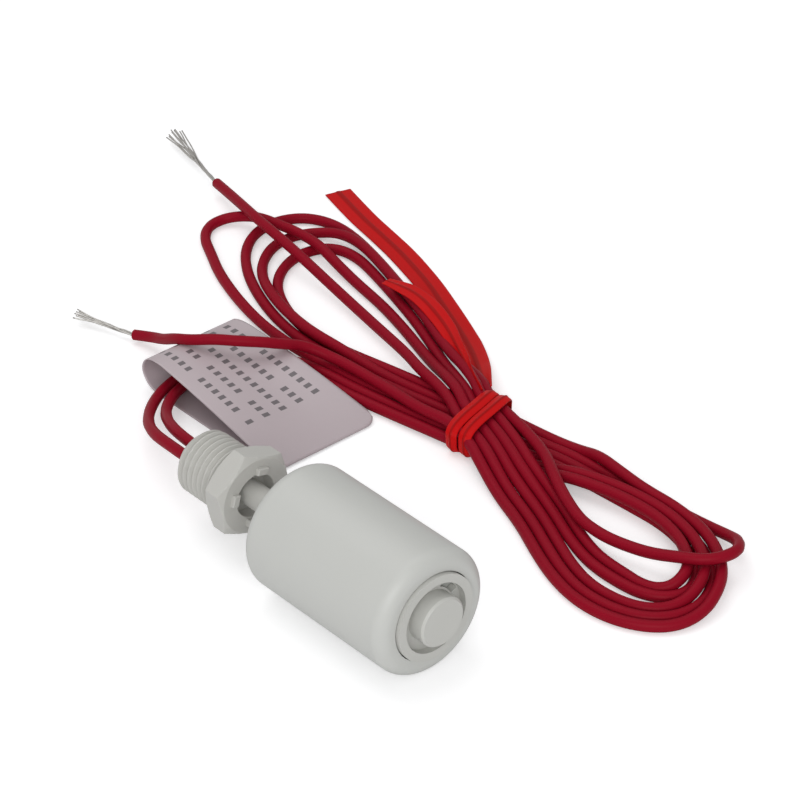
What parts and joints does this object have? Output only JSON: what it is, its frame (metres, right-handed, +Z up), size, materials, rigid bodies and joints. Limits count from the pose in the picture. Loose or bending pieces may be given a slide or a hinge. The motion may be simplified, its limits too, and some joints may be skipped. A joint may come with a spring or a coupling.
{
  "type": "float level switch",
  "caption": "Float level switch: hexed threaded stem with a reed inside, hollow grey float that slides and turns, end stop, two crimson leads in a tied hank with a label",
  "frame": {"origin": "middle of the bottom of the box round the switch itself, on the surface the float rests on", "axes": "X along the stem, from the threaded end towards the end stop; Z up; Y completes the right-handed set"},
  "size_m": [0.2053, 0.1145, 0.0254],
  "materials": {
    "grey_plastic": "satin",
    "float_plastic": "matte",
    "ferrite": "matte",
    "glass": "gloss",
    "reed_alloy": "satin",
    "tinned_copper": "satin",
    "sleeve_plastic": "satin",
    "epoxy": "gloss",
    "lead_insulation": "satin",
    "tie_plastic": "satin",
    "label_film": "satin"
  },
  "bodies": {
    "switch": {"stem_body": "grey_plastic", "stop_cap": "grey_plastic", "reed_glass": "glass", "reed_blade_near": "reed_alloy", "reed_blade_far": "reed_alloy", "splice_near": "tinned_copper", "splice_far": "tinned_copper", "splice_return": "tinned_copper", "return_sleeve": "sleeve_plastic", "return_wire": "tinned_copper", "lead_a_root": "lead_insulation", "lead_b_root": "lead_insulation", "potting": "epoxy", "lead_a": "lead_insulation", "lead_b": "lead_insulation", "lead_hank": "lead_insulation", "tail_a": "lead_insulation", "tail_b": "lead_insulation", "strands_a": "tinned_copper", "strands_b": "tinned_copper", "twist_tie": "tie_plastic", "label_flag": "label_film"},
    "carriage": {"ring_magnet": "ferrite"},
    "float": {"float_shell": "float_plastic", "float_end_cap": "float_plastic"}
  },
  "joints": [
    {"name": "float_slide", "type": "slide", "parent": "switch", "child": "carriage", "axis": [1, 0, 0], "range_m": [-0.0097, 0]},
    {"name": "float_spin", "type": "hinge", "parent": "carriage", "child": "float", "pos_m": [0, 0, 0.0127], "axis": [1, 0, 0], "continuous": true}
  ]
}
